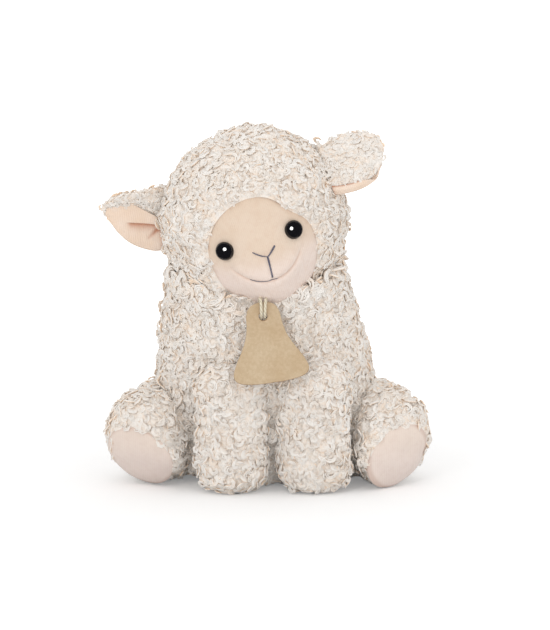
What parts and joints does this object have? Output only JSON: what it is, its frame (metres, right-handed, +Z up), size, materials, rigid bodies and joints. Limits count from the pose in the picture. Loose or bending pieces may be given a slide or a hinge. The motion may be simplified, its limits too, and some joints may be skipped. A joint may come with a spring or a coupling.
{
  "type": "plush sheep",
  "caption": "Sitting plush sheep in curly fleece with a tilted head, smooth face, drooping ears, splayed hind legs with padded soles, a tail and a hang tag on a cord.",
  "frame": {"origin": "middle of the flat seat, on the floor", "axes": "+Z up, the face towards -Y, +X to the right as seen from the front"},
  "size_m": [0.2296, 0.1827, 0.2526],
  "materials": {
    "fleece": "curly lambswool-style fleece, cream with beige depths",
    "velour": "short-pile velour, light peach",
    "sole": "short-pile velour, pinkish beige",
    "lining": "brushed plush, peach",
    "filling": "loose polyester fibre, white",
    "pellets": "small polyethylene pellets in a sewn bag",
    "eye": "glossy black",
    "washer": "white moulded",
    "thread": "grey embroidery thread",
    "card": "uncoated kraft card",
    "cord": "satin cord, cream"
  },
  "bodies": {
    "torso": {"body_cover": "fleece", "body_stuffing": "filling", "pellet_bag": "pellets"},
    "head": {"head_cover": "fleece", "face_panel": "velour", "chin_panel": "velour", "head_stuffing": "filling", "nose_stitch": "thread", "mouth_stitch": "thread", "eye_left": "eye", "eye_right": "eye", "eye_washer_left": "washer", "eye_washer_right": "washer"},
    "ear_left": {"ear_left_cover": "fleece", "ear_left_lining": "lining"},
    "ear_right": {"ear_right_cover": "fleece", "ear_right_lining": "lining"},
    "front_leg_left": {"front_leg_left_cover": "fleece", "front_leg_left_stuffing": "filling"},
    "front_leg_right": {"front_leg_right_cover": "fleece", "front_leg_right_stuffing": "filling"},
    "hind_leg_left": {"hind_leg_left_cover": "fleece", "hind_leg_left_stuffing": "filling", "hind_leg_left_sole": "sole"},
    "hind_leg_right": {"hind_leg_right_cover": "fleece", "hind_leg_right_stuffing": "filling", "hind_leg_right_sole": "sole"},
    "tail": {"tail_cover": "fleece", "tail_stuffing": "filling"},
    "tag": {"hang_tag": "card", "tag_cord": "cord"}
  },
  "joints": [
    {"name": "head_tilt", "type": "hinge", "parent": "torso", "child": "head", "pos_m": [-0.0108, -0.01, 0.187], "axis": [-0.1192, 0.9709, 0.2079], "range_deg": [-8, 32], "stiffness_Nm_per_rad": 0.5},
    {"name": "ear_left_flop", "type": "hinge", "parent": "head", "child": "ear_left", "pos_m": [-0.07748, -0.01006, 0.19097], "axis": [-0.1247, 0.1585, -0.9795], "range_deg": [-25, 25], "stiffness_Nm_per_rad": 0.05},
    {"name": "ear_right_flop", "type": "hinge", "parent": "head", "child": "ear_right", "pos_m": [0.0441, -0.01817, 0.22417], "axis": [0.2172, -0.6203, -0.7537], "range_deg": [-25, 25], "stiffness_Nm_per_rad": 0.05},
    {"name": "front_leg_left_swing", "type": "hinge", "parent": "torso", "child": "front_leg_left", "pos_m": [-0.026, -0.041, 0.076], "axis": [-1, 0, 0], "range_deg": [0, 50], "stiffness_Nm_per_rad": 0.08},
    {"name": "front_leg_right_swing", "type": "hinge", "parent": "torso", "child": "front_leg_right", "pos_m": [0.031, -0.041, 0.076], "axis": [-1, 0, 0], "range_deg": [0, 50], "stiffness_Nm_per_rad": 0.08},
    {"name": "hind_leg_left_splay", "type": "hinge", "parent": "torso", "child": "hind_leg_left", "pos_m": [-0.069, 0.012, 0.0355], "axis": [0, 0, -1], "range_deg": [0, 30], "stiffness_Nm_per_rad": 0.1},
    {"name": "hind_leg_right_splay", "type": "hinge", "parent": "torso", "child": "hind_leg_right", "pos_m": [0.069, 0.012, 0.0355], "axis": [0, 0, 1], "range_deg": [0, 30], "stiffness_Nm_per_rad": 0.1},
    {"name": "tail_wag", "type": "hinge", "parent": "torso", "child": "tail", "pos_m": [0, 0.0815, 0.052], "axis": [0, 1, 0], "range_deg": [-35, 35], "stiffness_Nm_per_rad": 0.02},
    {"name": "tag_swing", "type": "hinge", "parent": "torso", "child": "tag", "pos_m": [-0.004, -0.0615, 0.1399], "axis": [-1, 0, 0], "range_deg": [0, 50]}
  ]
}
